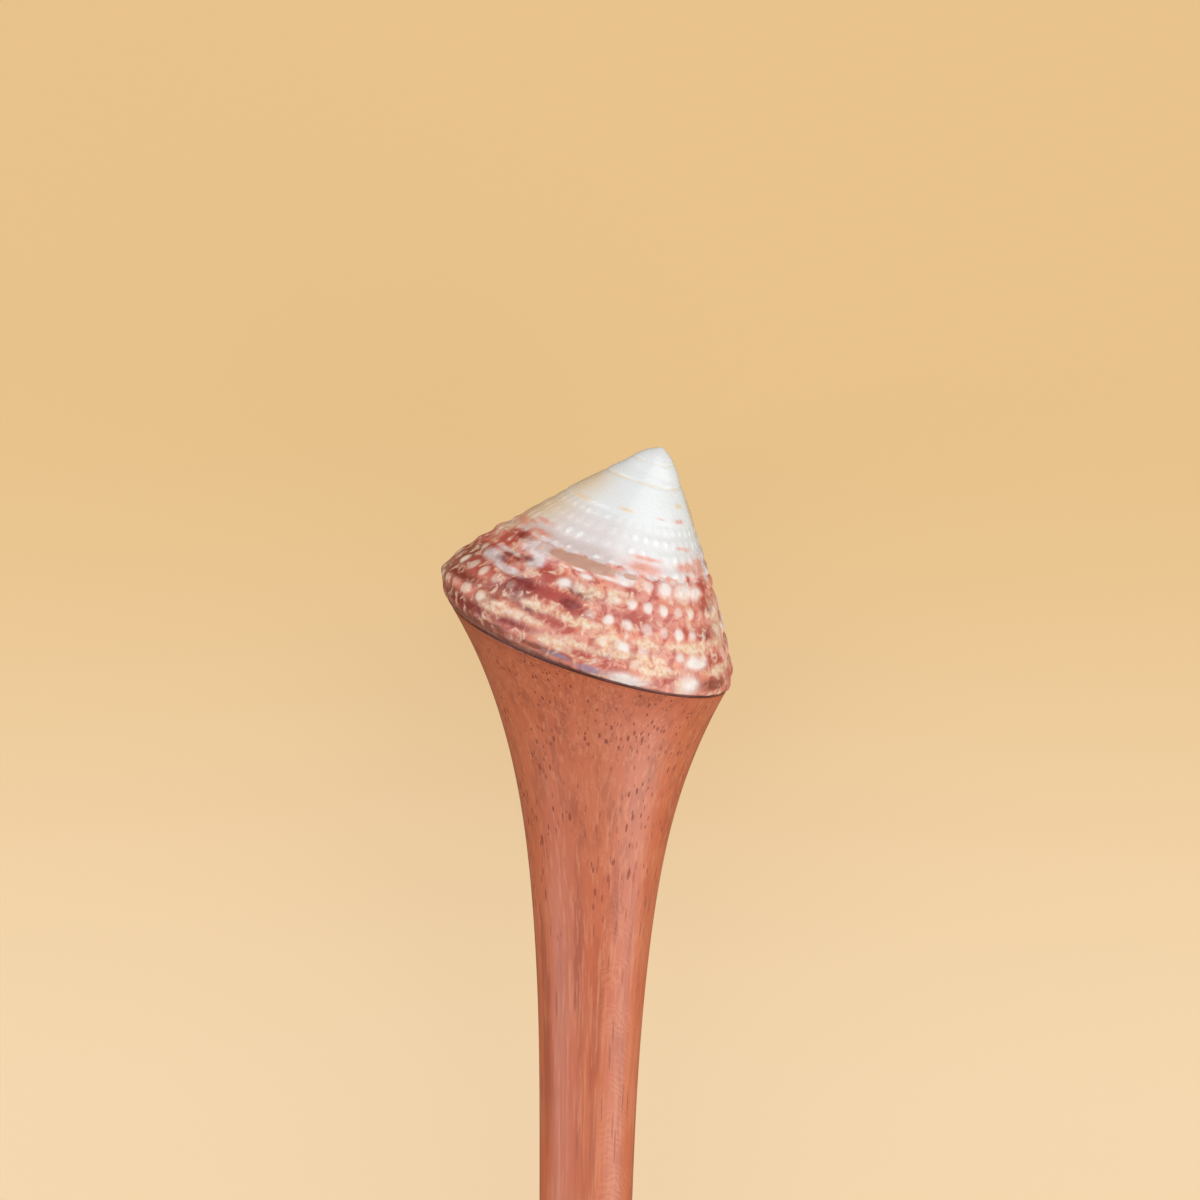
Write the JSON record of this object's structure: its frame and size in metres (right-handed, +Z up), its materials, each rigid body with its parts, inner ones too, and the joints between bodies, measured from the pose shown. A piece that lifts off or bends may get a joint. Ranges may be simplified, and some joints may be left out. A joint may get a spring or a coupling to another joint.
{
  "type": "hair stick with a top shell head",
  "caption": "Turned hardwood hair stick with a slanted flared end, topped by a worn conical spiral sea shell with beaded rows.",
  "frame": {"origin": "middle of the footprint of the lying stick, on the table it rests on", "axes": "+Y from the stick's tip towards the shell, +Z up from the table, +X to the right seen from above with the shell at the far end"},
  "size_m": [0.0208, 0.127, 0.0214],
  "materials": {
    "shell": "glossy worn shell, white nacre at the apex, rose-brown and cream beaded rows below",
    "glue": "dark brown set glue, glossy",
    "wood": "satin oiled reddish hardwood with short dark pores along the grain"
  },
  "bodies": {
    "root": {"top_shell": "shell", "glue_seam": "glue", "wooden_stick": "wood"}
  },
  "joints": []
}
